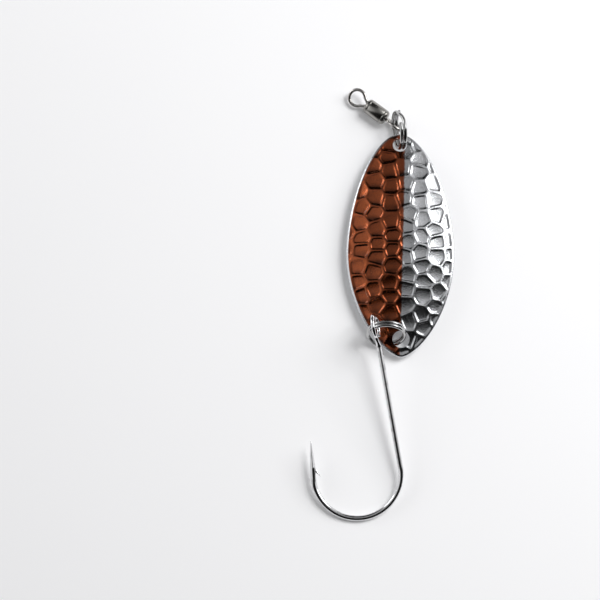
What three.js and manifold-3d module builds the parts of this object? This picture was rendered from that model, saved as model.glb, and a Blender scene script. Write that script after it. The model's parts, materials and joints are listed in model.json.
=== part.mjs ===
// Spoon lure: a dished metal blade, a swivel on a split ring at its nose, and a single
// long-shank hook on a split ring at its tail.
//
// Millimetres. +X is across the blade, +Y runs from the hook towards the swivel, +Z is up.
// The lure lies as it is laid down on a table: the blade's crowned side is up and its hollow
// side is down, held off the table by the rings. The origin is the middle of the lure's own
// box, at table level.

import * as THREE from 'three';
import { mergeVertices } from 'three/addons/utils/BufferGeometryUtils.js';
import Module from 'manifold-3d';

const wasm = await Module();
wasm.setup();

// Blade: an egg-shaped sheet, pointed a little more at the nose than at the tail.
const BLADE_LENGTH = 57;
const BLADE_WIDTH = 27.3;
const BLADE_THICKNESS = 0.85;
const BLADE_NOSE_SHARE = 0.54;
const BLADE_X = -0.3;
const NOSE_PROFILE = { power: 1.7, root: 0.55 };
const TAIL_PROFILE = { power: 1.9, root: 0.65 };
const DISH_ALONG = 3.8;
const DISH_ACROSS = 3.4;
const CROWN_HEIGHT = 5.6;
const CROWN_SLOPE = 0.0145;
const RIM_ROUNDING = 0.25;
const NOSE_HOLE = { y: 25.4, diameter: 3.5 };
const TAIL_HOLE = { y: -24, diameter: 4.3 };

// Split rings: two coils of round spring wire with one step where they cross over.
const RING_DIAMETER = 10;
const RING_WIRE = 0.88;
const RING_PITCH = 0.94;
const RING_STEP_ANGLE = THREE.MathUtils.degToRad(56);
const RING_END_GAP = THREE.MathUtils.degToRad(10);

// Where each ring lies: its middle, and the turns that take it out of the table's plane.
const NOSE_RING = { x: -0.5, y: 28.9, z: 5.74, lean: 98.9, yaw: 7.4, splitAt: 135 };
const TAIL_RING = { x: -4.12, y: -22.96, z: 4.7, tilt: 61.9, splitAt: 222 };

// Hook: ring eye square to the bend, long straight shank, round bend, barbed point.
const HOOK_WIRE = 1.4;
const HOOK_EYE_DIAMETER = 7;
const HOOK_EYE_WIRE = 0.9;
const HOOK_EYE_TWIST = THREE.MathUtils.degToRad(14);
const HOOK_EYE = { x: -6.81, y: -21.41, z: 7.52 };
const HOOK_SHANK = 35.4;
const HOOK_BEND_RADIUS = 10.9;
const HOOK_BEND_SWEEP = THREE.MathUtils.degToRad(186);
const HOOK_POINT_LENGTH = 9.3;
const HOOK_POINT_TAPER = 6.9;
const HOOK_LEAN = THREE.MathUtils.degToRad(10);
const BARB_ROOT = 2;
const BARB_REACH = 1.7;
const BARB_WIDTH = 0.5;

// Barrel swivel: two eyes whose headed stems turn inside one hollow barrel.
const BARREL_DIAMETER = 3.9;
const BARREL_LENGTH = 6.4;
const BARREL_WALL = 0.45;
const BARREL_END_WALL = 0.75;
const BARREL_BORE = 1.5;
const BARREL_SHOULDER = 0.7;
const SWIVEL_EYE_DIAMETER = 5;
const SWIVEL_EYE_OFFSET = 6.1;
const SWIVEL_WIRE = 0.8;
const SWIVEL_HEAD_DIAMETER = 2.3;
const SWIVEL_HEAD_THICKNESS = 0.6;
const SWIVEL_CLEARANCE = 0.3;
const SWIVEL_NECK_FLARE = 0.72;
const SWIVEL = { x: -6.15, y: 34.41, z: 2.16, yaw: 142.7, slope: 2.6 };
const LURE_EYE_ROLL = -22.6;
const LINE_EYE_ROLL = 66;

const WIRE_SIDES = 10;
const JOIN_OVERLAP = 0.2;
const WELD_DISTANCE = 1e-4;
const NICKEL = { color: 0xc9cbcd, metalness: 1, roughness: 0.18 };
const COPPER_LACQUER = { color: 0x8a4420, metalness: 1, roughness: 0.2 };
const DARK_NICKEL = { color: 0x77777a, metalness: 1, roughness: 0.3 };

const radians = THREE.MathUtils.degToRad;

// A closed geometry becomes a solid that can be cut and joined.
function toSolid(geometry) {
  const bare = geometry.clone();
  bare.deleteAttribute('normal');
  bare.deleteAttribute('uv');
  const merged = mergeVertices(bare, WELD_DISTANCE);
  const index = merged.index.array;
  const triangles = [];
  for (let i = 0; i < index.length; i += 3) {
    const [a, b, c] = [index[i], index[i + 1], index[i + 2]];
    if (a !== b && b !== c && c !== a) {
      triangles.push(a, b, c);
    }
  }
  const vertProperties = new Float32Array(merged.attributes.position.array);
  return new wasm.Manifold(new wasm.Mesh({
    numProp: 3,
    vertProperties,
    triVerts: new Uint32Array(triangles),
  }));
}

function toGeometry(solid) {
  const mesh = solid.getMesh();
  const geometry = new THREE.BufferGeometry();
  geometry.setAttribute('position', new THREE.BufferAttribute(mesh.vertProperties, 3));
  geometry.setIndex(new THREE.BufferAttribute(mesh.triVerts, 1));
  geometry.computeVertexNormals();
  return geometry;
}

function namedMesh(name, geometry, finish) {
  const mesh = new THREE.Mesh(geometry, new THREE.MeshStandardMaterial(finish));
  mesh.name = name;
  return mesh;
}

// A wire of round section along a curve, with flat ends.
function wireAlong(curve, diameter, steps) {
  const section = new THREE.Shape();
  section.absarc(0, 0, diameter / 2, 0, 2 * Math.PI, false);
  return new THREE.ExtrudeGeometry(section, {
    steps,
    extrudePath: curve,
    curveSegments: WIRE_SIDES / 2,
    bevelEnabled: false,
  });
}

// A turned shape about +Z from (radius, height) pairs that start and end on the axis.
function turned(profile, sides) {
  const points = profile.map(([radius, height]) => new THREE.Vector2(radius, height));
  return new THREE.LatheGeometry(points, sides).rotateX(Math.PI / 2);
}

// Height of the blade's hollow side above the table.
function sheetHeight(x, y) {
  const along = y / (BLADE_LENGTH / 2);
  const across = x / (BLADE_WIDTH / 2);
  const drop = DISH_ALONG * along ** 2 + DISH_ACROSS * across ** 2;
  return CROWN_HEIGHT + CROWN_SLOPE * y - drop;
}

// The outline's point at an angle from +X, as seen from the widest place on the axis.
function outlinePoint(angle) {
  const noseLength = BLADE_LENGTH * BLADE_NOSE_SHARE;
  const tailLength = BLADE_LENGTH - noseLength;
  const rise = Math.sin(angle);
  const { power, root } = rise > 0 ? NOSE_PROFILE : TAIL_PROFILE;
  const fullness = (1 - Math.min(1, Math.abs(rise)) ** power) ** root;
  const x = Math.sign(Math.cos(angle)) * fullness * BLADE_WIDTH / 2;
  return [x, rise * (rise > 0 ? noseLength : tailLength)];
}

// A flat round sheet is stretched to the outline and then pressed into the dish.
function bladeSheet() {
  const ringCount = 9;
  const sides = 72;
  const profile = [[0, 0]];
  for (let i = 1; i <= ringCount; i += 1) {
    profile.push([i / ringCount, 0]);
  }
  const edge = 1 + RIM_ROUNDING / (BLADE_WIDTH / 2);
  profile.push([edge, RIM_ROUNDING], [edge, BLADE_THICKNESS - RIM_ROUNDING]);
  for (let i = ringCount; i >= 1; i -= 1) {
    profile.push([i / ringCount, BLADE_THICKNESS]);
  }
  profile.push([0, BLADE_THICKNESS]);
  const sheet = turned(profile, sides);
  const widestY = BLADE_LENGTH / 2 - BLADE_LENGTH * BLADE_NOSE_SHARE;
  const position = sheet.attributes.position;
  for (let i = 0; i < position.count; i += 1) {
    const reach = Math.hypot(position.getX(i), position.getY(i)) / edge;
    const angle = Math.atan2(position.getY(i), position.getX(i));
    const [outX, outY] = outlinePoint(angle);
    const x = outX * reach;
    const y = widestY + outY * reach;
    position.setXYZ(i, x, y, position.getZ(i) + sheetHeight(x, y));
  }
  return sheet;
}

// A drill that goes squarely through the sheet, which slopes along the blade.
function holeCutter({ y, diameter }) {
  const slope = CROWN_SLOPE - 2 * DISH_ALONG * y / (BLADE_LENGTH / 2) ** 2;
  return new THREE.CylinderGeometry(diameter / 2, diameter / 2, 6 * BLADE_THICKNESS, 28)
    .rotateX(Math.PI / 2)
    .rotateX(Math.atan(slope))
    .translate(0, y, sheetHeight(0, y) + BLADE_THICKNESS / 2);
}

function makeBlade() {
  let solid = toSolid(bladeSheet());
  for (const hole of [NOSE_HOLE, TAIL_HOLE]) {
    solid = solid.subtract(toSolid(holeCutter(hole)));
  }
  const blade = namedMesh('spoon_blade', toGeometry(solid), COPPER_LACQUER);
  blade.position.set(BLADE_X, 0, 0);
  return blade;
}

// The centre-line of a split ring about +Z: two flat coils joined by one smooth step.
class SplitRingCurve extends THREE.Curve {
  constructor(splitAt) {
    super();
    this.splitAt = splitAt;
  }

  getPoint(t, target = new THREE.Vector3()) {
    const first = RING_STEP_ANGLE / 2 + RING_END_GAP;
    const turn = first + t * (4 * Math.PI - 2 * first);
    const share = (turn - 2 * Math.PI) / RING_STEP_ANGLE;
    const step = THREE.MathUtils.smoothstep(share, -0.5, 0.5);
    const radius = (RING_DIAMETER - RING_WIRE) / 2;
    const angle = turn + this.splitAt;
    const height = (step - 0.5) * RING_PITCH;
    return target.set(radius * Math.cos(angle), radius * Math.sin(angle), height);
  }
}

function makeNoseRing() {
  const curve = new SplitRingCurve(radians(NOSE_RING.splitAt));
  const ring = namedMesh('nose_split_ring', wireAlong(curve, RING_WIRE, 76), NICKEL);
  ring.position.set(NOSE_RING.x, NOSE_RING.y, NOSE_RING.z);
  ring.rotation.set(0, radians(NOSE_RING.lean), radians(NOSE_RING.yaw), 'ZYX');
  return ring;
}

function makeTailRing() {
  const curve = new SplitRingCurve(radians(TAIL_RING.splitAt));
  const ring = namedMesh('tail_split_ring', wireAlong(curve, RING_WIRE, 76), NICKEL);
  ring.position.set(TAIL_RING.x, TAIL_RING.y, TAIL_RING.z);
  ring.rotation.set(radians(TAIL_RING.tilt), 0, 0);
  return ring;
}

// The bend is an arc about a point left of the shank, swept past half a turn.
class HookBendCurve extends THREE.Curve {
  getPoint(t, target = new THREE.Vector3()) {
    const angle = t * HOOK_BEND_SWEEP;
    const x = HOOK_BEND_RADIUS * (Math.cos(angle) - 1);
    return target.set(x, -HOOK_SHANK - HOOK_BEND_RADIUS * Math.sin(angle), 0);
  }
}

function hookWire(bend, pointStart, pointWay) {
  const path = new THREE.CurvePath();
  const eyeFoot = new THREE.Vector3(0, -(HOOK_EYE_DIAMETER - HOOK_EYE_WIRE) / 2, 0);
  const taperStart = pointStart.clone().addScaledVector(pointWay, HOOK_POINT_LENGTH - HOOK_POINT_TAPER);
  path.add(new THREE.LineCurve3(eyeFoot, bend.getPoint(0)));
  path.add(bend);
  path.add(new THREE.LineCurve3(pointStart, taperStart));
  return wireAlong(path, HOOK_WIRE, 64);
}

function hookPoint(pointStart, pointWay) {
  const upToWay = new THREE.Quaternion().setFromUnitVectors(new THREE.Vector3(0, 1, 0), pointWay);
  const height = HOOK_POINT_TAPER + JOIN_OVERLAP;
  const place = pointStart.clone().addScaledVector(pointWay, HOOK_POINT_LENGTH - height / 2);
  return new THREE.ConeGeometry(HOOK_WIRE / 2, height, 2 * WIRE_SIDES)
    .applyQuaternion(upToWay)
    .translate(place.x, place.y, place.z);
}

// A sliver raised from the inner side of the point, slanting back towards the bend.
function hookBarb(pointStart, pointWay) {
  const inward = new THREE.Vector3(pointWay.y, -pointWay.x, 0);
  const root = pointStart.clone().addScaledVector(pointWay, BARB_ROOT);
  const high = root.clone().addScaledVector(pointWay, BARB_REACH / 2);
  const low = root.clone().addScaledVector(pointWay, -BARB_REACH / 4);
  const tip = root.clone().addScaledVector(inward, BARB_REACH).addScaledVector(pointWay, -BARB_REACH);
  const outline = new THREE.Shape([low, tip, high].map(({ x, y }) => new THREE.Vector2(x, y)));
  return new THREE.ExtrudeGeometry(outline, { depth: BARB_WIDTH, bevelEnabled: false })
    .translate(0, 0, -BARB_WIDTH / 2);
}

function makeHook() {
  const bend = new HookBendCurve();
  const pointStart = bend.getPoint(1);
  const pointWay = bend.getTangent(1);
  const eyeRadius = (HOOK_EYE_DIAMETER - HOOK_EYE_WIRE) / 2;
  const eye = new THREE.TorusGeometry(eyeRadius, HOOK_EYE_WIRE / 2, WIRE_SIDES, 30)
    .rotateY(Math.PI / 2 - HOOK_EYE_TWIST);
  const solid = toSolid(hookWire(bend, pointStart, pointWay))
    .add(toSolid(eye))
    .add(toSolid(hookPoint(pointStart, pointWay)))
    .add(toSolid(hookBarb(pointStart, pointWay)));
  const hook = namedMesh('single_hook', toGeometry(solid), NICKEL);
  const reach = HOOK_BEND_RADIUS * (1 + Math.sin(HOOK_LEAN)) + HOOK_SHANK * Math.cos(HOOK_LEAN);
  const droop = Math.asin((HOOK_EYE.z - HOOK_WIRE / 2) / reach);
  hook.position.set(HOOK_EYE.x, HOOK_EYE.y, HOOK_EYE.z);
  hook.rotation.set(droop, 0, HOOK_LEAN);
  return hook;
}

// The barrel's wall as one closed profile, open at both ends round the stems.
function makeBarrel() {
  const outer = BARREL_DIAMETER / 2;
  const inner = outer - BARREL_WALL;
  const end = BARREL_LENGTH / 2;
  const chamber = end - BARREL_END_WALL;
  const bore = BARREL_BORE / 2;
  const half = [
    [bore, end],
    [outer - BARREL_SHOULDER, end],
    [outer - BARREL_SHOULDER / 4, end - BARREL_SHOULDER / 3],
    [outer, end - BARREL_SHOULDER],
  ];
  const outside = [...half, ...half.map(([r, z]) => [r, -z]).reverse()];
  const inside = [[bore, -chamber], [inner, -chamber], [inner, chamber], [bore, chamber]];
  const profile = [...outside, ...inside, half[0]].reverse();
  return namedMesh('swivel_barrel', turned(profile, 28), DARK_NICKEL);
}

// One eye with its neck, stem and inner head, on the +Z side of the barrel.
function swivelEye() {
  const stem = SWIVEL_WIRE / 2;
  const loop = (SWIVEL_EYE_DIAMETER - SWIVEL_WIRE) / 2;
  const headTop = BARREL_LENGTH / 2 - BARREL_END_WALL - SWIVEL_CLEARANCE;
  const neckFoot = BARREL_LENGTH / 2 + SWIVEL_CLEARANCE;
  const loopFoot = SWIVEL_EYE_OFFSET - loop;
  const shank = turned([
    [0, headTop - SWIVEL_HEAD_THICKNESS],
    [SWIVEL_HEAD_DIAMETER / 2, headTop - SWIVEL_HEAD_THICKNESS],
    [SWIVEL_HEAD_DIAMETER / 2, headTop],
    [stem, headTop],
    [stem, neckFoot],
    [SWIVEL_NECK_FLARE, loopFoot],
    [0, loopFoot],
  ], 20);
  const ring = new THREE.TorusGeometry(loop, stem, WIRE_SIDES, 30)
    .rotateX(Math.PI / 2)
    .translate(0, 0, SWIVEL_EYE_OFFSET);
  return toGeometry(toSolid(shank).add(toSolid(ring)));
}

function makeSwivel() {
  const swivel = new THREE.Group();
  const lineEye = namedMesh('swivel_line_eye', swivelEye(), NICKEL);
  const lureEye = namedMesh('swivel_lure_eye', swivelEye().rotateX(Math.PI), NICKEL);
  lineEye.rotation.z = radians(LINE_EYE_ROLL);
  lureEye.rotation.z = radians(LURE_EYE_ROLL);
  swivel.add(makeBarrel(), lineEye, lureEye);
  swivel.position.set(SWIVEL.x, SWIVEL.y, SWIVEL.z);
  swivel.rotation.set(0, radians(90 + SWIVEL.slope), radians(SWIVEL.yaw), 'ZYX');
  return swivel;
}

// The finished lure, moved so that its box stands on the table around the origin.
function makeLure() {
  const lure = new THREE.Group();
  lure.add(makeBlade(), makeNoseRing(), makeTailRing(), makeHook(), makeSwivel());
  const box = new THREE.Box3().setFromObject(lure, true);
  const middle = box.getCenter(new THREE.Vector3());
  lure.position.set(-middle.x, -middle.y, -box.min.z);
  lure.updateMatrixWorld(true);
  return lure;
}

const group = makeLure();

export default group;
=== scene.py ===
"""Spoon lure: hammered two-tone blade, split rings, barrel swivel and long-shank hook."""

import json
import math

import bmesh
import bpy
import numpy as np
from bpy.props import FloatProperty, FloatVectorProperty, IntProperty, PointerProperty
from mathutils import Matrix, Vector


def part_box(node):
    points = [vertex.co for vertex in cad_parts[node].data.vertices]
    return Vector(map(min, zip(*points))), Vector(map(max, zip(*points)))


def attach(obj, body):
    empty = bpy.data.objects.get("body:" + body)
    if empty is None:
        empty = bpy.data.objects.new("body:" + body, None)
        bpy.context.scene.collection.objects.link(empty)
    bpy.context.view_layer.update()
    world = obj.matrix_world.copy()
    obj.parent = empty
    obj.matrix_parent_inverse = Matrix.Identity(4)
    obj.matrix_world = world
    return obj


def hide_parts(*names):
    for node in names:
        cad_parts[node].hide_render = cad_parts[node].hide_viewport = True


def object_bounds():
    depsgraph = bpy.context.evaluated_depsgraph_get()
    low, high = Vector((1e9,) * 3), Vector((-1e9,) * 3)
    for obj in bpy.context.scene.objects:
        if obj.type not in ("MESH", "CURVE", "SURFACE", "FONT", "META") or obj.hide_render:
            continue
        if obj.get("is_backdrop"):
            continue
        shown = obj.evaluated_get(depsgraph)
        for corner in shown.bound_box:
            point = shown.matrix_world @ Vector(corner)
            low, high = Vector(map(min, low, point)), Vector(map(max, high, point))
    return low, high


bl_info = {
    "name": "Spoon Lure",
    "version": (1, 0, 0),
    "blender": (4, 5, 0),
    "location": "View3D > Sidebar > Spoon Lure",
    "description": "Builds a hammered spoon lure with its rings, swivel and hook",
    "category": "Add Mesh",
}

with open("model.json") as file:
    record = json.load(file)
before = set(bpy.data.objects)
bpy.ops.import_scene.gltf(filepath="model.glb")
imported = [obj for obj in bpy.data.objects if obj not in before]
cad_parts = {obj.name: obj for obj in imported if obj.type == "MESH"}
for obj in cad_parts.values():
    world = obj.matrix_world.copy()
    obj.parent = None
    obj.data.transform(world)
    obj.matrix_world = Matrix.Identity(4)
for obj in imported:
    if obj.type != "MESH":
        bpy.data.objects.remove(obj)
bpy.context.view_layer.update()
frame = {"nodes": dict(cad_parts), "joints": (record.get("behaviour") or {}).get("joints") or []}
JOINTS = {joint["name"]: joint for joint in frame["joints"]}
MM = 0.001


# ---------------------------------------------------------------------------
# Sizes and colours a user would change
# ---------------------------------------------------------------------------


def length(name, description, default_mm):
    """A length property whose default is given in millimetres."""
    return FloatProperty(
        name=name,
        description=description,
        default=default_mm * MM,
        min=0.0,
        unit="LENGTH",
        precision=5,
    )


def colour(name, description, default):
    """A colour property."""
    return FloatVectorProperty(
        name=name, description=description, default=default, subtype="COLOR", size=3, min=0.0, max=1.0
    )


class LureBladeSettings(bpy.types.PropertyGroup):
    """Sheet, crown, dents and finish of the blade."""

    thickness: length("Thickness", "Thickness of the sheet", 0.85)
    crown_along: length("Crown along", "How far nose and tail drop below the middle", 3.8)
    crown_across: length("Crown across", "How far the long edges drop below the middle", 3.4)
    rim_radius: length("Rim radius", "Rounding of the blade's edge", 0.28)
    cell_width: length("Cell width", "Spacing of the hammer marks across the blade", 3.85)
    cell_height: length("Cell height", "Spacing of the hammer marks along the blade", 3.95)
    dent_depth: length("Dent depth", "Depth of a hammer mark's wall", 0.14)
    dent_lean: FloatProperty(
        name="Dent lean",
        description="How much deeper a mark is on the side nearer the tail",
        default=0.7,
        min=0.0,
    )
    bowl_depth: length("Bowl depth", "Extra hollow in the middle of a hammer mark", 0.17)
    ridge_width: length("Ridge width", "Width of the ridge left between two marks", 0.26)
    wall_width: length("Wall width", "Width of the slope from a ridge to the mark's floor", 0.42)
    nose_hole: length("Nose hole", "Diameter of the hole for the nose ring", 3.5)
    tail_hole: length("Tail hole", "Diameter of the hole for the tail ring", 4.3)
    nickel: colour("Nickel", "Colour of the bare nickel plate", (0.78, 0.79, 0.81))
    lacquer: colour("Lacquer", "Colour of the plate under copper lacquer", (0.34, 0.082, 0.027))


class LureWireSettings(bpy.types.PropertyGroup):
    """Split rings, swivel and hook."""

    ring_wire: length("Ring wire", "Wire diameter of the split rings", 0.88)
    ring_pitch: length("Ring pitch", "Distance between a split ring's two coils", 0.94)
    hook_wire: length("Hook wire", "Wire diameter of the hook", 1.4)
    hook_eye_wire: length("Hook eye wire", "Wire diameter of the hook's eye", 0.92)
    hook_taper: length("Point taper", "Length of the hook's sharpened point", 6.9)
    barb_reach: length("Barb reach", "How far the barb stands in from the point", 1.7)
    swivel_wire: length("Swivel wire", "Wire diameter of the swivel's eyes", 0.86)
    barrel_diameter: length("Barrel diameter", "Outside diameter of the swivel's barrel", 3.9)
    barrel_length: length("Barrel length", "Length of the swivel's barrel", 6.4)
    wire_sides: IntProperty(name="Wire sides", description="Sides of a wire's section", default=20, min=6)


class LureStageSettings(bpy.types.PropertyGroup):
    """Floor, lights and camera."""

    camera_distance: length("Camera distance", "Distance of the camera from the table", 520.0)
    camera_elevation: FloatProperty(
        name="Camera elevation",
        description="Height angle of the camera, in degrees",
        default=82.0,
        min=1.0,
        max=90.0,
    )
    view_width: length("View width", "Width of table that the picture takes in", 151.5)
    floor_colour: colour("Floor", "Colour of the floor", (0.86, 0.86, 0.87))
    light_power: FloatProperty(
        name="Light power",
        description="Power of the right softbox; the other softboxes follow it",
        default=1.0,
        min=0.0,
        unit="POWER",
    )


# ---------------------------------------------------------------------------
# Helpers: meshes
# ---------------------------------------------------------------------------


def new_object(name, vertices, faces, smooth=True):
    """A mesh object from vertices in metres and faces."""
    mesh = bpy.data.meshes.new(name)
    mesh.from_pydata([tuple(v) for v in vertices], [], faces)
    mesh.validate()
    mesh.polygons.foreach_set("use_smooth", [smooth] * len(mesh.polygons))
    mesh.update()
    piece = bpy.data.objects.new(name, mesh)
    bpy.context.scene.collection.objects.link(piece)
    return piece


def sharpen(piece, degrees):
    """Marks every edge that turns by more than an angle as sharp."""
    mesh = bmesh.new()
    mesh.from_mesh(piece.data)
    limit = math.radians(degrees)
    for edge in mesh.edges:
        if len(edge.link_faces) == 2:
            edge.smooth = edge.calc_face_angle(0.0) < limit
    mesh.to_mesh(piece.data)
    mesh.free()


def cut(piece, tool, operation="DIFFERENCE"):
    """Cuts or joins a piece with another object, which is then removed."""
    modifier = piece.modifiers.new("cut", "BOOLEAN")
    modifier.object = tool
    modifier.operation = operation
    modifier.solver = "EXACT"
    depsgraph = bpy.context.evaluated_depsgraph_get()
    result = bpy.data.meshes.new_from_object(piece.evaluated_get(depsgraph))
    piece.modifiers.remove(modifier)
    old = piece.data
    piece.data = result
    result.name = piece.name
    bpy.data.meshes.remove(old)
    bpy.data.objects.remove(tool)


def carry(piece, body, node, material):
    """Dresses a piece and lets it stand for its CAD node."""
    piece.data.materials.clear()
    piece.data.materials.append(material)
    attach(piece, body)
    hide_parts(node)


def frames_along(points):
    """Two unit directions across the path at each point, turning as little as they can."""
    points = np.asarray(points, float)
    ways = np.gradient(points, axis=0)
    ways /= np.linalg.norm(ways, axis=1)[:, None]
    side = np.cross(ways[0], [0.0, 0.0, 1.0])
    if np.linalg.norm(side) < 0.1:
        side = np.cross(ways[0], [0.0, 1.0, 0.0])
    sides = []
    for way in ways:
        side = side - way * side.dot(way)
        side /= np.linalg.norm(side)
        sides.append(side.copy())
    return np.array(sides), np.cross(ways, np.array(sides))


def wire(points, radii, sides):
    """Vertices and faces of a round wire along an open path, closed at both ends."""
    points = np.asarray(points, float)
    radii = np.broadcast_to(np.asarray(radii, float), (len(points),)).copy()
    across, up = frames_along(points)
    turns = np.linspace(0.0, 2 * math.pi, sides, endpoint=False)
    ring = np.cos(turns)[None, :, None] * across[:, None] + np.sin(turns)[None, :, None] * up[:, None]
    vertices = (points[:, None] + radii[:, None, None] * ring).reshape(-1, 3)
    faces = []
    count = len(points)
    for i in range(count - 1):
        a, b = i * sides, (i + 1) * sides
        for k in range(sides):
            n = (k + 1) % sides
            faces.append((a + k, a + n, b + n, b + k))
    faces.append(tuple(reversed(range(sides))))
    faces.append(tuple((count - 1) * sides + k for k in range(sides)))
    return vertices, faces


def dome_ends(points, radii, dome):
    """Adds short, narrowing steps at both ends of a path, for a rounded wire end."""
    points = [np.asarray(p, float) for p in points]
    radii = list(radii)
    steps = (0.35, 0.75, 0.97)
    for end in (0, -1):
        inner = points[1] if end == 0 else points[-2]
        tip = points[end]
        way = (tip - inner) / np.linalg.norm(tip - inner)
        radius = radii[end]
        for share in steps:
            place = tip + way * dome * radius * share
            size = radius * math.sqrt(1 - share**2)
            points.insert(0, place) if end == 0 else points.append(place)
            radii.insert(0, size) if end == 0 else radii.append(size)
    return np.array(points), np.array(radii)


def turned(profile, sides, matrix):
    """Vertices and faces of a closed turned shape about the local Z axis."""
    vertices = []
    faces = []
    for radius, height in profile:
        for k in range(sides):
            angle = 2 * math.pi * k / sides
            local = Vector((radius * math.cos(angle), radius * math.sin(angle), height))
            vertices.append(matrix @ local)
    count = len(profile)
    for i in range(count):
        a, b = i * sides, ((i + 1) % count) * sides
        for k in range(sides):
            n = (k + 1) % sides
            faces.append((a + k, a + n, b + n, b + k))
    return vertices, faces


def moved(points, matrix):
    """Points taken through a matrix."""
    points = np.asarray(points, float)
    turn = np.array(matrix.to_3x3())
    return points @ turn.T + np.array(matrix.translation)


def node_points(node):
    """A CAD node's vertices."""
    return np.array([v.co for v in frame["nodes"][node].data.vertices], float)


def fit_circle(points):
    """Middle, axis and mean radius of the ring that points lie around."""
    centre = points.mean(0)
    axes = np.linalg.svd(points - centre, full_matrices=False)[2]
    flat = (points - centre) @ axes[:2].T
    system = np.column_stack([2 * flat, np.ones(len(flat))])
    solved = np.linalg.lstsq(system, (flat**2).sum(1), rcond=None)[0]
    middle = centre + solved[:2] @ axes[:2]
    radius = math.sqrt(solved[2] + solved[:2].dot(solved[:2]))
    return middle, axes[2], radius


def axes_matrix(origin, x_way, z_way):
    """A matrix at an origin whose Z is z_way and whose X is as near x_way as it can be."""
    z_axis = Vector(z_way).normalized()
    x_axis = Vector(x_way) - z_axis * Vector(x_way).dot(z_axis)
    x_axis.normalize()
    y_axis = z_axis.cross(x_axis)
    turn = Matrix((x_axis, y_axis, z_axis)).transposed()
    return Matrix.Translation(Vector(origin)) @ turn.to_4x4()


def smoothstep(low, high, value):
    """0 below low, 1 above high, and smooth between them."""
    share = np.clip((value - low) / (high - low), 0.0, 1.0)
    return share * share * (3 - 2 * share)


# ---------------------------------------------------------------------------
# Helpers: materials
# ---------------------------------------------------------------------------


def group_tree(name, inputs, outputs):
    """An empty shader node group with float inputs and outputs."""
    tree = bpy.data.node_groups.new(name, "ShaderNodeTree")
    for label, default in inputs:
        socket = tree.interface.new_socket(name=label, in_out="INPUT", socket_type="NodeSocketFloat")
        socket.default_value = default
    for label in outputs:
        tree.interface.new_socket(name=label, in_out="OUTPUT", socket_type="NodeSocketFloat")
    return tree, tree.nodes.new("NodeGroupInput"), tree.nodes.new("NodeGroupOutput")


def math_node(tree, operation, first, second=None):
    """A Math node; numbers are set on it and sockets are linked to it."""
    node = tree.nodes.new("ShaderNodeMath")
    node.operation = operation
    for socket, value in zip(node.inputs, (first, second)):
        if isinstance(value, bpy.types.NodeSocket):
            tree.links.new(value, socket)
        elif value is not None:
            socket.default_value = value
    return node.outputs[0]


def noise_node(tree, scale, detail, position=None):
    """A noise texture in the piece's own coordinates."""
    node = tree.nodes.new("ShaderNodeTexNoise")
    node.inputs["Detail"].default_value = detail
    if isinstance(scale, bpy.types.NodeSocket):
        tree.links.new(scale, node.inputs["Scale"])
    else:
        node.inputs["Scale"].default_value = scale
    if position is None:
        position = tree.nodes.new("ShaderNodeTexCoord").outputs["Object"]
    tree.links.new(position, node.inputs["Vector"])
    return node.outputs["Fac"]


def range_node(tree, value, low, high, out_low, out_high):
    """Maps a value from one range to another, smoothly."""
    node = tree.nodes.new("ShaderNodeMapRange")
    node.interpolation_type = "SMOOTHSTEP"
    tree.links.new(value, node.inputs["Value"])
    for socket, amount in zip(node.inputs[1:5], (low, high, out_low, out_high)):
        if isinstance(amount, bpy.types.NodeSocket):
            tree.links.new(amount, socket)
        else:
            socket.default_value = amount
    return node.outputs["Result"]


def handled_metal_group():
    """Shared by every metal: cloudy roughness with fine handling marks, and their height."""
    inputs = (("Roughness", 0.1), ("Variation", 0.05), ("Cloud Scale", 300.0), ("Mark Scale", 2500.0))
    tree, start, end = group_tree("handled_metal", inputs, ("Roughness", "Height", "Tarnish"))
    cloud = noise_node(tree, start.outputs["Cloud Scale"], 3.0)
    marks = noise_node(tree, start.outputs["Mark Scale"], 4.0)
    broad = math_node(tree, "MULTIPLY", cloud, 0.7)
    both = math_node(tree, "ADD", broad, math_node(tree, "MULTIPLY", marks, 0.3))
    centred = math_node(tree, "SUBTRACT", both, 0.5)
    swing = math_node(tree, "MULTIPLY", centred, start.outputs["Variation"])
    rough = math_node(tree, "ADD", math_node(tree, "MULTIPLY", swing, 4.0), start.outputs["Roughness"])
    limited = math_node(tree, "MAXIMUM", rough, 0.02)
    tree.links.new(limited, end.inputs["Roughness"])
    tree.links.new(marks, end.inputs["Height"])
    tree.links.new(range_node(tree, cloud, 0.52, 0.75, 0.0, 1.0), end.inputs["Tarnish"])
    return tree


def drawn_lines_group():
    """Shared by the wires and the barrel: fine lines left by drawing, turning or sharpening."""
    inputs = (("Scale", 900.0), ("Stretch X", 1.0), ("Stretch Y", 1.0), ("Stretch Z", 1.0))
    tree, start, end = group_tree("drawn_lines", inputs, ("Line", "Scratch"))
    combine = tree.nodes.new("ShaderNodeCombineXYZ")
    for axis in "XYZ":
        tree.links.new(start.outputs[f"Stretch {axis}"], combine.inputs[axis])
    multiply = tree.nodes.new("ShaderNodeVectorMath")
    multiply.operation = "MULTIPLY"
    tree.links.new(tree.nodes.new("ShaderNodeTexCoord").outputs["Object"], multiply.inputs[0])
    tree.links.new(combine.outputs[0], multiply.inputs[1])
    line = noise_node(tree, start.outputs["Scale"], 2.0, multiply.outputs[0])
    tree.links.new(line, end.inputs["Line"])
    tree.links.new(range_node(tree, line, 0.6, 0.72, 0.0, 1.0), end.inputs["Scratch"])
    return tree


def shared_group(name, maker):
    """A node group that is made once and then used again."""
    return bpy.data.node_groups.get(name) or maker()


def new_material(name):
    """A material with its node tree and Principled shader."""
    material = bpy.data.materials.new(name)
    material.use_nodes = True
    tree = material.node_tree
    return material, tree, tree.nodes["Principled BSDF"]


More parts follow.
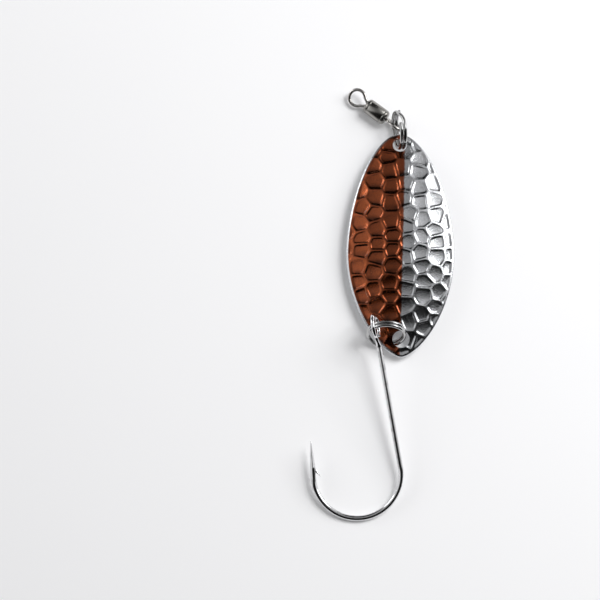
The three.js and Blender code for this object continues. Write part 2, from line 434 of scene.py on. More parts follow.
def use_group(tree, group, **values):
    """A group node with its inputs set from keyword values."""
    node = tree.nodes.new("ShaderNodeGroup")
    node.node_tree = group
    for label, value in values.items():
        node.inputs[label.replace("_", " ")].default_value = value
    return node


def mix_colour(tree, factor, first, second):
    """A colour mix; colours are tuples or sockets."""
    node = tree.nodes.new("ShaderNodeMix")
    node.data_type = "RGBA"
    tree.links.new(factor, node.inputs["Factor"])
    for socket, value in ((node.inputs["A"], first), (node.inputs["B"], second)):
        if isinstance(value, bpy.types.NodeSocket):
            tree.links.new(value, socket)
        else:
            socket.default_value = (*value, 1.0)
    return node.outputs["Result"]


def add_bump(tree, shader, height, strength, distance):
    """A Bump node from a height to the shader's normal."""
    bump = tree.nodes.new("ShaderNodeBump")
    bump.inputs["Strength"].default_value = strength
    bump.inputs["Distance"].default_value = distance
    tree.links.new(height, bump.inputs["Height"])
    tree.links.new(bump.outputs["Normal"], shader.inputs["Normal"])


def attribute(tree, name):
    """A value kept on the mesh's points."""
    node = tree.nodes.new("ShaderNodeAttribute")
    node.attribute_name = name
    return node.outputs["Fac"]


# ---------------------------------------------------------------------------
# Blade
# ---------------------------------------------------------------------------

NOSE_SHARE = 0.54
NOSE_PROFILE = (1.7, 0.55)
TAIL_PROFILE = (1.9, 0.65)
NOSE_HOLE_FROM_TIP = 3.1 * MM
TAIL_HOLE_FROM_TIP = 4.5 * MM
CROWN_SLOPE = 0.0145
HAMMER_SEED = 11
CELL_JITTER = 0.24
EDGE_SOFTNESS = 0.16 * MM
# Marks nearer the tail than the first value don't lean; beyond the second they lean in full
LEAN_FROM = (-17 * MM, -9 * MM)
LEAN_LIMITS = (0.1, 1.9)
UNDERSIDE_RELIEF = 0.6
BARE_RIM = (0.38 * MM, 0.52 * MM)
FACING_UP = (0.45, 0.7)
EDGE_WANDER = 0.0006
# Points handled at a time, to keep memory small
BLOCK = 20000


class BladeShape:
    """The blade's outline, crown and hammer marks, worked out from its CAD box."""

    def __init__(self, settings):
        low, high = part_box("spoon_blade")
        self.settings = settings
        self.centre_x = (low.x + high.x) / 2
        self.half_width = (high.x - low.x) / 2
        self.half_length = (high.y - low.y) / 2
        self.top = high.z
        self.centre_y = (low.y + high.y) / 2
        self.nose_length = 2 * self.half_length * NOSE_SHARE
        self.tail_length = 2 * self.half_length - self.nose_length
        self.widest_y = self.half_length - self.nose_length
        self.seeds = self.hammer_seeds()

    def outline(self, angle):
        """Outline points at angles from +X, about the widest place on the axis."""
        rise = np.sin(angle)
        share = np.clip(np.abs(rise), 0.0, 1.0)
        nose = (1 - share ** NOSE_PROFILE[0]) ** NOSE_PROFILE[1]
        tail = (1 - share ** TAIL_PROFILE[0]) ** TAIL_PROFILE[1]
        x = np.sign(np.cos(angle)) * np.where(rise > 0, nose, tail) * self.half_width
        y = rise * np.where(rise > 0, self.nose_length, self.tail_length)
        return np.column_stack([x, y + self.widest_y])

    def even_angles(self, count):
        """Angles that space the outline's points evenly along the edge."""
        fine = np.linspace(-math.pi, math.pi, 20001)
        steps = np.linalg.norm(np.diff(self.outline(fine), axis=0), axis=1)
        travelled = np.concatenate([[0.0], np.cumsum(steps)])
        wanted = np.linspace(0.0, travelled[-1], count, endpoint=False)
        return np.interp(wanted, travelled, fine)

    def hammer_seeds(self):
        """Middles of the hammer marks: staggered columns, each mark a little astray."""
        random = np.random.default_rng(HAMMER_SEED)
        width, height = self.settings.cell_width, self.settings.cell_height
        columns = int(math.ceil(self.half_width / width)) + 1
        rows = int(math.ceil(self.half_length / height)) + 2
        seeds = []
        for column in range(-columns, columns + 1):
            for row in range(-rows, rows + 1):
                x = (column + 0.35) * width
                y = (row + 0.5 * (column % 2)) * height
                astray = random.uniform(-CELL_JITTER, CELL_JITTER, 2)
                seeds.append((x + astray[0] * width, y + astray[1] * height))
        return np.array(seeds)

    def crown(self, x, y):
        """Height of the smooth underside, which is highest in the middle."""
        settings = self.settings
        drop = settings.crown_along * (y / self.half_length) ** 2
        drop = drop + settings.crown_across * (x / self.half_width) ** 2
        return self.top - settings.thickness + CROWN_SLOPE * y - drop

    def crown_slope(self, y):
        """How steeply the sheet rises towards the nose on the blade's middle line."""
        return CROWN_SLOPE - 2 * self.settings.crown_along * y / self.half_length**2

    def dents(self, x, y):
        """Height of the hammered relief at each point: 0 on a ridge, less in a mark."""
        settings = self.settings
        relief = np.empty(len(x))
        for start in range(0, len(x), BLOCK):
            place = np.column_stack([x[start:start + BLOCK], y[start:start + BLOCK]])
            offset = place[:, None] - self.seeds[None]
            far = (offset**2).sum(2)
            nearest = np.argsort(far, axis=1)[:, :9]
            own = self.seeds[nearest[:, 0]]
            others = self.seeds[nearest[:, 1:]]
            way = others - own[:, None]
            gap = np.linalg.norm(way, axis=2)
            middle = (others + own[:, None]) / 2
            edge = ((middle - place[:, None]) * way).sum(2) / gap
            to_edge = -EDGE_SOFTNESS * np.log(np.exp(-edge / EDGE_SOFTNESS).sum(1))
            reach = np.sqrt(far[np.arange(len(place)), nearest[:, 0]])
            ridge = settings.ridge_width / 2
            wall = smoothstep(ridge, ridge + settings.wall_width, to_edge)
            bowl = np.clip(1 - (reach / (0.55 * settings.cell_width)) ** 2, 0.0, 1.0)
            lean = (own[:, 1] - place[:, 1]) / (0.5 * settings.cell_height)
            lean = 1 + settings.dent_lean * lean * smoothstep(*LEAN_FROM, own[:, 1])
            depth = settings.dent_depth * np.clip(lean, *LEAN_LIMITS) + settings.bowl_depth * bowl
            relief[start:start + BLOCK] = -depth * wall
        return relief

    def painted_dent_shade(self, x, y):
        """Painted shade on the tail side of each hammer mark, 0 to 1, strongest at the mark's tail edge."""
        shade_amount = np.empty(len(x))
        for start in range(0, len(x), BLOCK):
            place = np.column_stack([x[start:start + BLOCK], y[start:start + BLOCK]])
            offset = place[:, None] - self.seeds[None]
            own = offset[np.arange(len(place)), (offset**2).sum(2).argmin(1)]
            low = -own[:, 1] / (0.5 * self.settings.cell_height)
            low = low - 0.35 * np.abs(own[:, 0]) / self.settings.cell_width
            # Painted shade: grows from the mark's middle towards its tail-side edge, and is weaker away from
            # the mark's middle line
            shade_amount[start:start + BLOCK] = smoothstep(0.0, 0.85, low)
        return shade_amount


def blade_grid(shape):
    """Points of the crowned face, the underside and the rim, on nested outlines."""
    settings = shape.settings
    around, nested = 620, 118
    angles = shape.even_angles(around)
    edge = shape.outline(angles)
    tangent = np.roll(edge, -1, 0) - np.roll(edge, 1, 0)
    outward = np.column_stack([tangent[:, 1], -tangent[:, 0]])
    outward /= np.linalg.norm(outward, axis=1)[:, None]
    radius = settings.rim_radius
    inner = edge - outward * radius
    middle = np.array([0.0, shape.widest_y])
    flat = [middle + (inner - middle) * (i / nested) for i in range(1, nested + 1)]
    flat = np.concatenate([middle[None], *flat])
    ease = smoothstep(0.15 * MM, 1.1 * MM, edge_distance(flat, inner, nested, around))
    relief = shape.dents(flat[:, 0], flat[:, 1]) * ease
    crown = shape.crown(flat[:, 0], flat[:, 1])
    top = np.column_stack([flat, crown + settings.thickness + relief])
    under = np.column_stack([flat, crown + UNDERSIDE_RELIEF * relief])
    rim = []
    turns = np.radians([25, 50, 75, 105, 130, 155])
    for turn in turns:
        place = inner + outward * radius * math.sin(turn)
        lift = settings.thickness / 2 * (1 + np.sign(math.cos(turn)))
        lift += radius * (math.cos(turn) - np.sign(math.cos(turn)))
        rim.append(np.column_stack([place, shape.crown(place[:, 0], place[:, 1]) + lift]))
    return top, under, rim, around, nested


def edge_distance(flat, inner, nested, around):
    """Distance of each nested outline's points from the rim."""
    distance = np.empty(len(flat))
    distance[0] = 1.0
    rings = flat[1:].reshape(nested, around, 2)
    for i in range(nested):
        distance[1 + i * around:1 + (i + 1) * around] = np.linalg.norm(inner - rings[i], axis=1)
    return distance


def blade_mesh(shape):
    """Joins top, rim and underside into one closed mesh."""
    top, under, rim, around, nested = blade_grid(shape)
    vertices = np.concatenate([top, under, *rim])
    under_start = len(top)
    rim_start = 2 * len(top)
    faces = []
    for k in range(around):
        n = (k + 1) % around
        faces.append((0, 1 + k, 1 + n))
        faces.append((under_start, under_start + 1 + n, under_start + 1 + k))
        for i in range(nested - 1):
            a, b = 1 + i * around, 1 + (i + 1) * around
            faces.append((a + k, b + k, b + n, a + n))
            faces.append((under_start + a + k, under_start + a + n, under_start + b + n, under_start + b + k))
        loops = [1 + (nested - 1) * around]
        loops += [rim_start + i * around for i in range(len(rim))]
        loops += [under_start + 1 + (nested - 1) * around]
        for a, b in zip(loops, loops[1:]):
            faces.append((a + k, b + k, b + n, a + n))
    vertices[:, 0] += shape.centre_x
    vertices[:, 1] += shape.centre_y
    return vertices, faces


def hole_cutter(shape, y, diameter):
    """A drill with flared lips, square to the sheet, that leaves a rounded hole edge."""
    settings = shape.settings
    slope = shape.crown_slope(y)
    radius = diameter / 2
    half = settings.thickness / 2
    lip = 0.22 * MM
    profile = [(1e-6, -3 * half)]
    profile += [(radius + lip, -3 * half), (radius + lip, -half - 0.1 * MM)]
    profile += [(radius + lip * 0.3, -half + 0.08 * MM), (radius, -half + lip)]
    profile += [(radius, half - lip), (radius + lip * 0.3, half - 0.08 * MM)]
    profile += [(radius + lip, half + 0.1 * MM), (radius + lip, 3 * half), (1e-6, 3 * half)]
    place = Vector((shape.centre_x, shape.centre_y + y, float(shape.crown(0.0, y)) + half))
    matrix = axes_matrix(place, (1, 0, 0), (0, -slope, 1))
    sides = 72
    vertices, faces = turned(profile, sides, matrix)
    faces = faces[:-sides]
    faces.append(tuple(range(sides)))
    faces.append(tuple(reversed([(len(profile) - 1) * sides + k for k in range(sides)])))
    tool = new_object("drill", vertices, faces)
    fix_normals(tool)
    return tool


def fix_normals(piece):
    """Turns every face outwards."""
    mesh = bmesh.new()
    mesh.from_mesh(piece.data)
    bmesh.ops.recalc_face_normals(mesh, faces=mesh.faces)
    mesh.to_mesh(piece.data)
    mesh.free()


def blade_material(shape):
    """Nickel plate, with copper lacquer over the crowned side's left half, darkened by painted shade on the
    tail side of each hammer mark.
    """
    settings = shape.settings
    material, tree, shader = new_material("hammered_two_tone")
    shader.inputs["Metallic"].default_value = 1.0
    shader.inputs["Coat Roughness"].default_value = 0.04
    shader.inputs["Coat IOR"].default_value = 1.5
    handled = use_group(
        tree, shared_group("handled_metal", handled_metal_group),
        Roughness=0.2, Variation=0.08, Cloud_Scale=900.0, Mark_Scale=4200.0,
    )
    position = tree.nodes.new("ShaderNodeTexCoord").outputs["Object"]
    split = tree.nodes.new("ShaderNodeSeparateXYZ")
    tree.links.new(position, split.inputs[0])
    slant = math_node(tree, "MULTIPLY", split.outputs["Y"], 0.03)
    uneven = math_node(tree, "SUBTRACT", noise_node(tree, 900.0, 2.0), 0.5)
    wander = math_node(tree, "MULTIPLY", uneven, EDGE_WANDER)
    line = math_node(tree, "SUBTRACT", math_node(tree, "ADD", split.outputs["X"], wander), slant)
    offset = math_node(tree, "SUBTRACT", line, shape.centre_x + 0.1 * MM)
    left = range_node(tree, offset, -0.25 * MM, 0.25 * MM, 1.0, 0.0)
    mask = math_node(tree, "MULTIPLY", left, attribute(tree, "crowned_side"))
    nickel = mix_colour(tree, handled.outputs["Tarnish"], settings.nickel, [0.9 * c for c in settings.nickel])
    worn = [0.82 * c for c in settings.lacquer]
    thin = mix_colour(tree, handled.outputs["Tarnish"], settings.lacquer, worn)
    # Painted shade: the copper darkens towards 0.18 of the lacquer colour on the tail side of each hammer
    # mark, in cloudy patches
    clouds = range_node(tree, noise_node(tree, 330.0, 3.0), 0.35, 0.65, 0.45, 1.0)
    painted_shade = math_node(tree, "MULTIPLY", attribute(tree, "painted_dent_shade"), clouds)
    copper = mix_colour(tree, painted_shade, thin, [0.18 * c for c in settings.lacquer])
    tree.links.new(mix_colour(tree, mask, nickel, copper), shader.inputs["Base Color"])
    tree.links.new(handled.outputs["Roughness"], shader.inputs["Roughness"])
    tree.links.new(math_node(tree, "MULTIPLY", mask, 0.35), shader.inputs["Coat Weight"])
    add_bump(tree, shader, handled.outputs["Height"], 0.5, 0.07 * MM)
    return material


class LURE_OT_make_blade(bpy.types.Operator):
    """Build the crowned, hammered blade with its two holes and two-tone finish"""

    bl_idname = "lure.make_blade"
    bl_label = "Make Blade"

    def execute(self, context):
        settings = context.scene.lure_blade
        shape = BladeShape(settings)
        vertices, faces = blade_mesh(shape)
        blade = new_object("hammered_blade", vertices, faces)
        mark_crowned_side(blade, shape)
        nose_y = shape.half_length - NOSE_HOLE_FROM_TIP
        tail_y = -shape.half_length + TAIL_HOLE_FROM_TIP
        cut(blade, hole_cutter(shape, nose_y, settings.nose_hole))
        cut(blade, hole_cutter(shape, tail_y, settings.tail_hole))
        sharpen(blade, 40)
        carry(blade, "blade", "spoon_blade", blade_material(shape))
        return {"FINISHED"}


def mark_crowned_side(blade, shape):
    """Keeps on each point whether it belongs to the crowned side, inside a bare line along the rim."""
    mesh = blade.data
    values = mesh.attributes.new("crowned_side", "FLOAT", "POINT")
    normals = np.empty(len(mesh.vertices) * 3)
    mesh.vertices.foreach_get("normal", normals)
    up = normals.reshape(-1, 3)[:, 2]
    places = np.empty(len(mesh.vertices) * 3)
    mesh.vertices.foreach_get("co", places)
    places = places.reshape(-1, 3)
    edge = shape.outline(np.linspace(-math.pi, math.pi, 900))
    edge = edge + np.array([shape.centre_x, shape.centre_y])
    inset = np.empty(len(places))
    for start in range(0, len(places), BLOCK):
        block = places[start:start + BLOCK, None, :2]
        inset[start:start + BLOCK] = np.sqrt(((block - edge[None]) ** 2).sum(2).min(1))
    values.data.foreach_set("value", smoothstep(*FACING_UP, up) * smoothstep(*BARE_RIM, inset))
    # Painted shade on the tail side of each hammer mark, kept on the points for the copper's colour
    shade_amount = mesh.attributes.new("painted_dent_shade", "FLOAT", "POINT")
    across = places[:, 0] - shape.centre_x
    along = places[:, 1] - shape.centre_y
    shade_amount.data.foreach_set("value", shape.painted_dent_shade(across, along))


# ---------------------------------------------------------------------------
# Split rings
# ---------------------------------------------------------------------------

STEP_ANGLE = math.radians(56)
END_GAP = math.radians(8)
END_SPRING = 0.05 * MM


def ring_path(settings, radius, count):
    """Two flat coils joined by one step, whose free ends spring open a little."""
    first = STEP_ANGLE / 2 + END_GAP
    turn = np.linspace(first, 4 * math.pi - first, count)
    step = smoothstep(-0.5, 0.5, (turn - 2 * math.pi) / STEP_ANGLE)
    near_start = np.exp(-(turn - first) / 0.35)
    near_end = np.exp(-(4 * math.pi - first - turn) / 0.35)
    height = (step - 0.5) * settings.ring_pitch + END_SPRING * (near_end - near_start)
    return np.column_stack([radius * np.cos(turn), radius * np.sin(turn), height])


def make_ring(settings, node, name):
    """A split ring exactly where its CAD node lies."""
    points = node_points(node)
    middle, axis, radius = fit_circle(points)
    split_way = middle - points.mean(0)
    matrix = axes_matrix(middle, split_way, axis)
    path = ring_path(settings, radius, 320)
    radii = np.full(len(path), settings.ring_wire / 2)
    path, radii = dome_ends(path, radii, 0.35)
    vertices, faces = wire(moved(path, matrix), radii, settings.wire_sides)
    ring = new_object(name, vertices, faces)
    sharpen(ring, 50)
    return ring


def bright_wire_material(name, base, roughness, line_scale, line_depth):
    """Bright plated wire with fine drawing lines and handling marks."""
    material, tree, shader = new_material(name)
    shader.inputs["Metallic"].default_value = 1.0
    handled = use_group(
        tree, shared_group("handled_metal", handled_metal_group),
        Roughness=roughness, Variation=0.05, Cloud_Scale=700.0, Mark_Scale=6000.0,
    )
    lines = use_group(
        tree, shared_group("drawn_lines", drawn_lines_group),
        Scale=line_scale, Stretch_X=1.0, Stretch_Y=0.15, Stretch_Z=1.0,
    )
    darker = [0.7 * c for c in base]
    worn = mix_colour(tree, handled.outputs["Tarnish"], base, darker)
    tree.links.new(mix_colour(tree, lines.outputs["Scratch"], worn, darker), shader.inputs["Base Color"])
    tree.links.new(handled.outputs["Roughness"], shader.inputs["Roughness"])
    add_bump(tree, shader, lines.outputs["Line"], 0.15, line_depth)
    return material


class LURE_OT_make_split_rings(bpy.types.Operator):
    """Build the double-coil split rings at the nose and the tail"""

    bl_idname = "lure.make_split_rings"
    bl_label = "Make Split Rings"

    def execute(self, context):
        settings = context.scene.lure_wire
        material = bright_wire_material("ring_nickel", (0.5, 0.5, 0.5), 0.14, 2600.0, 0.02 * MM)
        for node, body in (("nose_split_ring", "nose_ring"), ("tail_split_ring", "tail_ring")):
            ring = make_ring(settings, node, node + "_coils")
            carry(ring, body, node, material)
        return {"FINISHED"}


# ---------------------------------------------------------------------------
# Hook
# ---------------------------------------------------------------------------

SHANK_LENGTH = 35.4 * MM
BEND_RADIUS = 10.9 * MM
BEND_SWEEP = math.radians(186)
POINT_LENGTH = 9.3 * MM
LOOP_FIRST = math.radians(-126)
LOOP_LAST = math.radians(-58) - 2 * math.pi


def hook_place():
    """A matrix at the hook's eye (-Y runs down the shank, Z is square to the bend), and the eye's twist."""
    points = node_points("single_hook")
    top = points[:, 1].max()
    eye = points[points[:, 1] > top - 6.6 * MM]
    middle, axis, radius = fit_circle(eye)
    far = np.linalg.norm(points - middle, axis=1)
    shank = points[(far > 12 * MM) & (far < 30 * MM)]
    down = shank.mean(0) - middle
    down /= np.linalg.norm(down)
    body = points[far > 12 * MM]
    square = np.linalg.svd(body - body.mean(0), full_matrices=False)[2][2]
    square = square if square[2] > 0 else -square
    across = np.cross(-down, square)
    axis = axis if axis.dot(across) > 0 else -axis
    twist = math.atan2(axis.dot(square), axis.dot(across))
    return axes_matrix(middle, across, square), twist, radius


def hook_paths(settings, eye_radius, twist):
    """Centre-lines and radii of the hook's wire, in the hook's own place."""
    shank = SHANK_LENGTH
    bend = BEND_RADIUS
    sweep = BEND_SWEEP
    full = settings.hook_wire / 2
    thin = settings.hook_eye_wire / 2
    points = []
    radii = []
    for angle in np.linspace(LOOP_FIRST, LOOP_LAST, 60):
        aside = eye_radius * math.cos(angle)
        points.append((-aside * math.sin(twist), eye_radius * math.sin(angle), aside * math.cos(twist)))
        radii.append(thin * (0.8 + 0.2 * min(1.0, (LOOP_FIRST - angle) / 0.8)))
    last = points[-1]
    for share in np.linspace(0.12, 1.0, 14):
        blend = share * share * (3 - 2 * share)
        y = last[1] - share * 2.6 * MM
        points.append((last[0] * (1 - blend), y, last[2] * (1 - blend)))
        radii.append(thin + (full - thin) * blend)
    neck = points[-1][1]
    for y in np.linspace(neck, -shank, 60)[1:]:
        points.append((0.0, y, 0.0))
        radii.append(full)
    for angle in np.linspace(0.0, sweep, 90)[1:]:
        points.append((bend * (math.cos(angle) - 1), -shank - bend * math.sin(angle), 0.0))
        radii.append(full)
    start = np.array(points[-1])
    way = np.array([-math.sin(sweep), -math.cos(sweep), 0.0])
    taper = settings.hook_taper
    for share in np.linspace(0.0, 1.0, 50)[1:]:
        along = share * POINT_LENGTH
        left = (POINT_LENGTH - along) / taper
        points.append(tuple(start + way * along))
        radii.append(full * (min(1.0, left) ** 0.8 if left > 0 else 0.0) + 0.02 * MM * share)
    return points, radii, start, way


def hook_barb(settings, start, way, matrix):
    """A sliver raised from the inner side of the point, slanting back to the bend."""
    inward = np.array([way[1], -way[0], 0.0])
    reach = settings.barb_reach
    rows = 10
    points = []
    radii = []
    for share in np.linspace(0.0, 1.0, rows):
        along = 3.0 * MM - share * (reach + 1.2 * MM)
        across = 0.12 * MM + reach * share**1.35
        points.append(tuple(start + way * along + inward * across))
        radii.append(0.42 * MM * (1 - share) ** 0.7 + 0.015 * MM)
    vertices, faces = wire(moved(points, matrix), radii, settings.wire_sides)
    return new_object("barb", vertices, faces)


class LURE_OT_make_hook(bpy.types.Operator):
    """Build the long-shank hook with its eye, round bend, barb and point"""

    bl_idname = "lure.make_hook"
    bl_label = "Make Hook"

    def execute(self, context):
        settings = context.scene.lure_wire
        matrix, twist, eye_radius = hook_place()
        points, radii, start, way = hook_paths(settings, eye_radius, twist)
        path, sizes = dome_ends(points, radii, 0.4)
        vertices, faces = wire(moved(path, matrix), sizes, settings.wire_sides)
        hook = new_object("siwash_hook", vertices, faces)
        fix_normals(hook)
        barb = hook_barb(settings, start, way, matrix)
        fix_normals(barb)
        cut(hook, barb, "UNION")
        sharpen(hook, 55)
        material = bright_wire_material("hook_nickel", (0.8, 0.8, 0.81), 0.1, 2200.0, 0.02 * MM)
        carry(hook, "hook", "single_hook", material)
        return {"FINISHED"}


# ---------------------------------------------------------------------------
# Swivel
# ---------------------------------------------------------------------------


def swivel_place():
    """Middle of the barrel and the direction of its axis, towards the line eye."""
    joint = JOINTS["barrel_spin"]
    return Vector(joint["pos_m"]), Vector(joint["axis"]).normalized()


def make_barrel(settings):
    """The hollow barrel: rolled shoulders, a groove at each end and open bores."""
    middle, axis = swivel_place()
    outer = settings.barrel_diameter / 2
    end = settings.barrel_length / 2
    bore = 0.72 * MM
    wall = outer - 0.45 * MM
    chamber = end - 0.75 * MM
    shoulder = 0.9 * MM
    half = [(bore, end - 0.12 * MM), (bore + 0.1 * MM, end), (outer - shoulder - 0.15 * MM, end)]
    for turn in np.radians([15, 35, 55, 75, 90]):
        radius = outer - shoulder + shoulder * math.sin(turn)
        half.append((radius, end - shoulder + shoulder * math.cos(turn)))
    half += [(outer, end - 1.0 * MM), (outer - 0.07 * MM, end - 1.1 * MM), (outer, end - 1.2 * MM)]
    outside = half + [(r, -z) for r, z in reversed(half)]
    inside = [(bore, -chamber), (wall, -chamber), (wall, chamber), (bore, chamber)]
    matrix = axes_matrix(middle, (0, 0, 1), axis)
    vertices, faces = turned(outside + inside, 72, matrix)
    barrel = new_object("swivel_barrel_shell", vertices, faces)
    fix_normals(barrel)
    sharpen(barrel, 38)
    return barrel


EYE_RADIUS = 2.1 * MM
EYE_REACH = 6.1 * MM
EYE_LEG = 0.3 * MM
EYE_OPEN_ANGLE = math.radians(33)


def eye_place(settings, node):
    """A matrix at the barrel's middle whose Z runs out to the eye and whose XZ plane holds its loop."""
    middle, axis = swivel_place()
    points = node_points(node)
    along = (points - np.array(middle)) @ np.array(axis)
    outside = points[np.abs(along) > settings.barrel_length / 2 + 0.6 * MM]
    _, normal, _ = fit_circle(outside)
    side = 1.0 if along.mean() > 0 else -1.0
    return axes_matrix(middle, np.cross(axis, normal), Vector(axis) * side)


def eye_leg(sign, top, neck_z):
    """One leg of an eye, from the neck up to an end of its loop."""
    rows = []
    for share in np.linspace(0.0, 1.0, 12):
        ease = share * share * (3 - 2 * share)
        x = sign * (EYE_LEG + (abs(top[0]) - EYE_LEG) * ease**0.8)
        rows.append((x, 0.0, neck_z + (top[2] - neck_z) * share))
    return rows


def make_eye(settings, node, name):
    """One swivel eye: loop, twin-legged neck, stem and inner head."""
    matrix = eye_place(settings, node)
    thin = settings.swivel_wire / 2
    neck_z = settings.barrel_length / 2 - 0.35 * MM
    loop = []
    for angle in np.linspace(-math.pi / 2 + EYE_OPEN_ANGLE, 1.5 * math.pi - EYE_OPEN_ANGLE, 90):
        loop.append((EYE_RADIUS * math.cos(angle), 0.0, EYE_REACH + EYE_RADIUS * math.sin(angle)))
    path = eye_leg(1, loop[0], neck_z)[:-1] + loop + eye_leg(-1, loop[-1], neck_z)[:-1][::-1]
    path = smooth_path(np.array(path), 6)
    vertices, faces = wire(moved(path, matrix), np.full(len(path), thin), settings.wire_sides)
    eye = new_object(name, vertices, faces)
    fix_normals(eye)
    head_top = settings.barrel_length / 2 - 1.05 * MM
    head = 1.15 * MM
    profile = [(1e-6, head_top - 0.6 * MM), (head - 0.1 * MM, head_top - 0.6 * MM)]
    profile += [(head, head_top - 0.5 * MM), (head, head_top - 0.1 * MM), (head - 0.1 * MM, head_top)]
    profile += [(0.6 * MM, head_top), (0.62 * MM, neck_z + 0.25 * MM), (0.45 * MM, neck_z + 0.45 * MM)]
    profile += [(1e-6, neck_z + 0.5 * MM)]
    sides = 40
    vertices, faces = turned(profile, sides, matrix)
    faces = faces[:-sides]
    faces.append(tuple(range(sides)))
    faces.append(tuple((len(profile) - 1) * sides + k for k in range(sides)))
    stem = new_object("stem", vertices, faces)
    fix_normals(stem)
    cut(eye, stem, "UNION")
    sharpen(eye, 50)
    return eye


def smooth_path(path, rounds):
    """Evens out the corners of an open path without moving its ends."""
    for _ in range(rounds):
        path[1:-1] = 0.5 * path[1:-1] + 0.25 * (path[:-2] + path[2:])
    return path


def barrel_material():
    """Dark nickel over brass: turned lines round the barrel and darker cloudy patches."""
    material, tree, shader = new_material("barrel_dark_nickel")
    shader.inputs["Metallic"].default_value = 1.0
    handled = use_group(
        tree, shared_group("handled_metal", handled_metal_group),
        Roughness=0.24, Variation=0.08, Cloud_Scale=600.0, Mark_Scale=5000.0,
    )
    lines = use_group(
        tree, shared_group("drawn_lines", drawn_lines_group),
        Scale=1500.0, Stretch_X=1.6, Stretch_Y=-0.4, Stretch_Z=1.0,
    )
    base = mix_colour(tree, handled.outputs["Tarnish"], (0.34, 0.33, 0.31), (0.2, 0.19, 0.18))
    scratched = mix_colour(tree, lines.outputs["Scratch"], base, (0.3, 0.29, 0.28))
    tree.links.new(scratched, shader.inputs["Base Color"])
    tree.links.new(handled.outputs["Roughness"], shader.inputs["Roughness"])
    add_bump(tree, shader, lines.outputs["Line"], 0.3, 0.03 * MM)
    return material


class LURE_OT_make_swivel(bpy.types.Operator):
    """Build the swivel's barrel and its two turning eyes"""

    bl_idname = "lure.make_swivel"
    bl_label = "Make Swivel"

    def execute(self, context):
        settings = context.scene.lure_wire
        carry(make_barrel(settings), "barrel", "swivel_barrel", barrel_material())
        material = bright_wire_material("swivel_nickel", (0.6, 0.58, 0.56), 0.1, 2400.0, 0.02 * MM)
        for node, body in (("swivel_line_eye", "line_eye"), ("swivel_lure_eye", "lure_eye")):
            carry(make_eye(settings, node, node + "_loop"), body, node, material)
        return {"FINISHED"}


# ---------------------------------------------------------------------------
# Stage
# ---------------------------------------------------------------------------

# Brightness of the room from far left (0) to far right (1)
SKY_FROM_LEFT = (
    (0.0, 0.95),
    (0.15, 0.8),
    (0.3, 0.4),
    (0.5, 0.24),
    (0.63, 0.34),
    (0.77, 0.62),
    (0.88, 1.2),
    (1.0, 1.0),
)
# Name, compass angle, height angle, distance, size, share of the light power, seen in reflections
SOFTBOXES = (
    ("right_softbox", 22, 30, 0.62, (0.3, 0.22), 1.0, True),
    ("left_softbox", 150, 24, 0.62, (0.24, 0.2), 0.5, True),
    ("overhead", 38, 52, 0.7, (0.3, 0.3), 3.5, False),
)
FLOOR_REACH = 3.0
SENSOR_WIDTH = 36.0
VIEW_SHIFT = Vector((-20.7 * MM, 0.7 * MM, 0.0))


def add_area(name, place, target, size, power):
    """A rectangular soft light aimed at a point."""
    light = bpy.data.lights.new(name, "AREA")
    light.shape = "RECTANGLE"
    light.size, light.size_y = size
    light.energy = power
    lamp = bpy.data.objects.new(name, light)
    lamp.location = place
    lamp.rotation_euler = (Vector(target) - Vector(place)).to_track_quat("-Z", "Y").to_euler()
    bpy.context.scene.collection.objects.link(lamp)
    return lamp


def floor_material(tint):
    """Plain matt sweep with a barely visible unevenness."""
    material, tree, shader = new_material("pale_floor")
    shader.inputs["Roughness"].default_value = 0.9
    shader.inputs["Specular IOR Level"].default_value = 0.1
    shader.inputs["Emission Color"].default_value = (1.0, 1.0, 1.0, 1.0)
    shader.inputs["Emission Strength"].default_value = 0.1
    patch = noise_node(tree, 12.0, 2.0)
    tree.links.new(mix_colour(tree, patch, tint, [0.985 * c for c in tint]), shader.inputs["Base Color"])
    return material


def world_light():
    """A pale room: bright on the right, dimmer on the left, dark in front and in a gap behind."""
    world = bpy.data.worlds.new("studio")
    world.use_nodes = True
    tree = world.node_tree
    background = tree.nodes["Background"]
    split = tree.nodes.new("ShaderNodeSeparateXYZ")
    tree.links.new(tree.nodes.new("ShaderNodeTexCoord").outputs["Generated"], split.inputs[0])
    side = tree.nodes.new("ShaderNodeValToRGB")
    tree.links.new(range_linear(tree, split.outputs["X"], -1.0, 1.0), side.inputs[0])
    elements = side.color_ramp.elements
    while len(elements) < len(SKY_FROM_LEFT):
        elements.new(0.5)
    for element, (place, value) in zip(elements, SKY_FROM_LEFT):
        element.position = place
        element.color = (value, value, value * 1.01, 1.0)
    left = math_node(tree, "MULTIPLY", math_node(tree, "MINIMUM", split.outputs["X"], 0.0), -0.2)
    right = math_node(tree, "MULTIPLY", math_node(tree, "MAXIMUM", split.outputs["X"], 0.0), -0.17)
    edge = math_node(tree, "ADD", math_node(tree, "ADD", split.outputs["Y"], left), right)
    front = range_node(tree, edge, -0.2, -0.1, 0.02, 1.0)
    behind = range_node(tree, split.outputs["Y"], 0.5, 0.7, 0.0, 1.0)
    aside = math_node(tree, "ABSOLUTE", math_node(tree, "ADD", split.outputs["X"], 0.15))
    narrow = range_node(tree, aside, 0.4, 0.62, 1.0, 0.0)
    horizon = range_node(tree, split.outputs["Z"], 0.06, 0.3, 0.2, 1.0)
    gap = math_node(tree, "SUBTRACT", 0.97, math_node(tree, "MULTIPLY", behind, narrow))
    gap = math_node(tree, "MAXIMUM", gap, 0.03)
    tree.links.new(side.outputs[0], background.inputs["Color"])
    open_sky = math_node(tree, "MULTIPLY", math_node(tree, "MULTIPLY", front, gap), horizon)
    tree.links.new(open_sky, background.inputs["Strength"])
    bpy.context.scene.world = world


def range_linear(tree, value, low, high):
    """Maps a value from a range to 0..1 in a straight line."""
    node = tree.nodes.new("ShaderNodeMapRange")
    tree.links.new(value, node.inputs["Value"])
    node.inputs["From Min"].default_value = low
    node.inputs["From Max"].default_value = high
    return node.outputs["Result"]


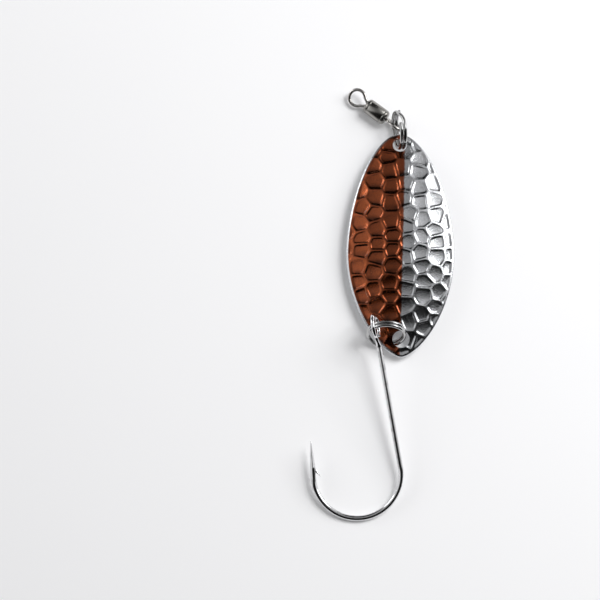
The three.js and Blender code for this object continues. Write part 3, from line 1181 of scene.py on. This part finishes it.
def around(centre, azimuth, elevation, distance):
    """A point at a compass angle from +X and a height angle, seen from a centre."""
    turn, rise = math.radians(azimuth), math.radians(elevation)
    way = Vector((math.cos(turn) * math.cos(rise), math.sin(turn) * math.cos(rise), math.sin(rise)))
    return centre + way * distance


class LURE_OT_make_stage(bpy.types.Operator):
    """Set the pale floor, the soft lights and the camera"""

    bl_idname = "lure.make_stage"
    bl_label = "Make Stage"

    def execute(self, context):
        settings = context.scene.lure_stage
        reach = FLOOR_REACH
        corners = [(-reach, -reach, 0), (reach, -reach, 0), (reach, reach, 0), (-reach, reach, 0)]
        floor = new_object("floor", corners, [(0, 1, 2, 3)], smooth=False)
        floor.data.materials.append(floor_material(settings.floor_colour))
        floor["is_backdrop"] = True
        low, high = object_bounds()
        centre = (Vector(low) + Vector(high)) / 2
        centre.z = 0.0
        for name, azimuth, elevation, distance, size, share, in_reflections in SOFTBOXES:
            place = around(centre, azimuth, elevation, distance)
            lamp = add_area(name, place, centre, size, settings.light_power * share)
            lamp.visible_glossy = in_reflections
        world_light()
        camera_data = bpy.data.cameras.new("camera")
        camera_data.sensor_width = SENSOR_WIDTH
        camera_data.lens = SENSOR_WIDTH * settings.camera_distance / settings.view_width
        camera_data.clip_start = 0.01
        camera = bpy.data.objects.new("camera", camera_data)
        aim = centre + VIEW_SHIFT
        elevation = math.radians(settings.camera_elevation)
        back = Vector((0, -math.cos(elevation), math.sin(elevation)))
        camera.location = aim + back * settings.camera_distance
        camera.rotation_euler = (-back).to_track_quat("-Z", "Y").to_euler()
        context.scene.collection.objects.link(camera)
        context.scene.camera = camera
        context.scene.view_settings.view_transform = "Standard"
        return {"FINISHED"}


# ---------------------------------------------------------------------------
# Panel and registration
# ---------------------------------------------------------------------------

OPERATORS = (
    LURE_OT_make_stage,
    LURE_OT_make_blade,
    LURE_OT_make_split_rings,
    LURE_OT_make_hook,
    LURE_OT_make_swivel,
)
SETTINGS = (
    ("lure_blade", LureBladeSettings),
    ("lure_wire", LureWireSettings),
    ("lure_stage", LureStageSettings),
)


class LURE_PT_parts(bpy.types.Panel):
    """Lists the lure's parts in the sidebar"""

    bl_label = "Spoon Lure"
    bl_space_type = "VIEW_3D"
    bl_region_type = "UI"
    bl_category = "Spoon Lure"

    def draw(self, context):
        for operator in OPERATORS:
            self.layout.operator(operator.bl_idname)


def register():
    """Registers the settings, the operators and the panel."""
    for _, settings in SETTINGS:
        bpy.utils.register_class(settings)
    for name, settings in SETTINGS:
        setattr(bpy.types.Scene, name, PointerProperty(type=settings))
    for operator in OPERATORS:
        bpy.utils.register_class(operator)
    bpy.utils.register_class(LURE_PT_parts)


def unregister():
    """Removes what register added."""
    bpy.utils.unregister_class(LURE_PT_parts)
    for operator in reversed(OPERATORS):
        bpy.utils.unregister_class(operator)
    for name, settings in reversed(SETTINGS):
        delattr(bpy.types.Scene, name)
        bpy.utils.unregister_class(settings)


def main():
    """Builds the whole lure."""
    register()
    bpy.ops.lure.make_stage()
    bpy.ops.lure.make_blade()
    bpy.ops.lure.make_split_rings()
    bpy.ops.lure.make_hook()
    bpy.ops.lure.make_swivel()


if __name__ == "__main__":
    main()
